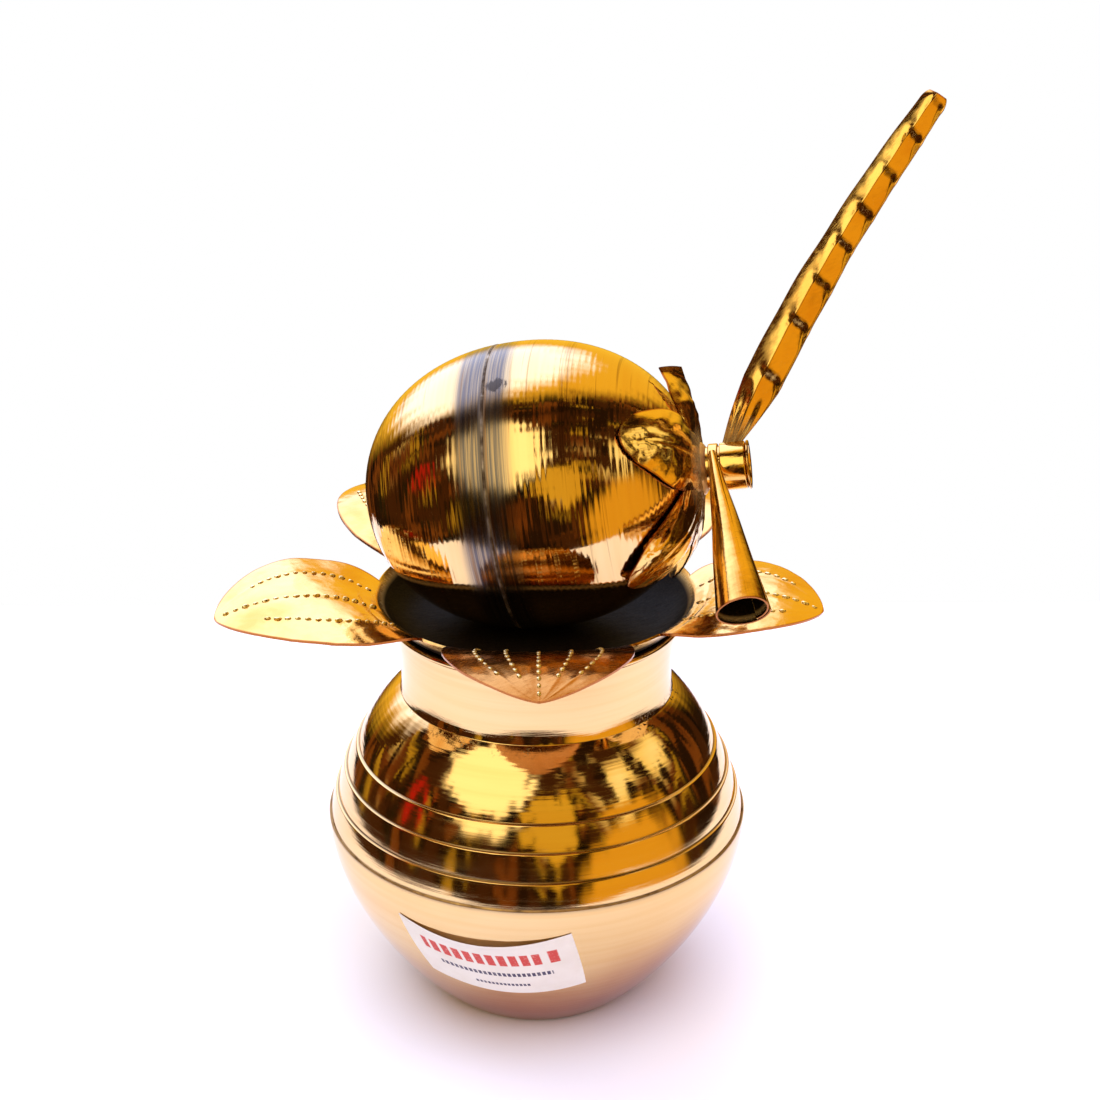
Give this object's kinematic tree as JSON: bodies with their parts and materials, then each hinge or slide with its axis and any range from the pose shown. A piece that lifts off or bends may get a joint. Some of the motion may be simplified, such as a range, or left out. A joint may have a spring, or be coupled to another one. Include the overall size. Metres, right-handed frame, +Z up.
{
  "type": "kalash pot",
  "caption": "Spun brass ritual water pot with a lift-off crown of sheet-brass mango leaves and a hollow brass coconut resting in its dish.",
  "frame": {"origin": "centre of the flat face that the pot stands on", "axes": "+Z up along the pot's axis, -Y to the front leaf and the label, +X to the coconut's stem"},
  "size_m": [0.1634, 0.1296, 0.219],
  "materials": {
    "pot_brass": "polished, with fine turning lines",
    "coconut_brass": "polished, with spinning grooves",
    "sheet_brass": "bright stamped sheet with coppery cut edges",
    "braze": "dull, dark and uneven",
    "paper": "matt white paper"
  },
  "bodies": {
    "pot": {"lower_bowl": "pot_brass", "upper_shell": "pot_brass", "belly_braze": "braze", "paper_label": "paper"},
    "crown": {"leaf_crown": "sheet_brass"},
    "coconut": {"coconut_blunt_half": "coconut_brass", "coconut_stem_half": "coconut_brass", "coconut_seam_solder": "braze", "calyx": "sheet_brass", "stem_tube": "sheet_brass", "stem_braze_bead": "braze"},
    "long_leaf": {"long_leaf": "sheet_brass"},
    "cone": {"rolled_cone": "sheet_brass"}
  },
  "joints": [
    {"name": "leaf_crown_lift", "type": "slide", "parent": "pot", "child": "crown", "axis": [0, 0, 1], "range_m": [0, 0.08]},
    {"name": "coconut_lift", "type": "slide", "parent": "crown", "child": "coconut", "axis": [0, 0, 1], "range_m": [0, 0.08]},
    {"name": "long_leaf_swing", "type": "hinge", "parent": "coconut", "child": "long_leaf", "pos_m": [0.045, -0.00575, 0.1371], "axis": [0.9816, -0.1249, 0.1444], "range_deg": [-35, 40]},
    {"name": "rolled_cone_swing", "type": "hinge", "parent": "coconut", "child": "cone", "pos_m": [0.04073, -0.00521, 0.13647], "axis": [0.9816, -0.1249, 0.1444], "range_deg": [-70, 8]}
  ]
}
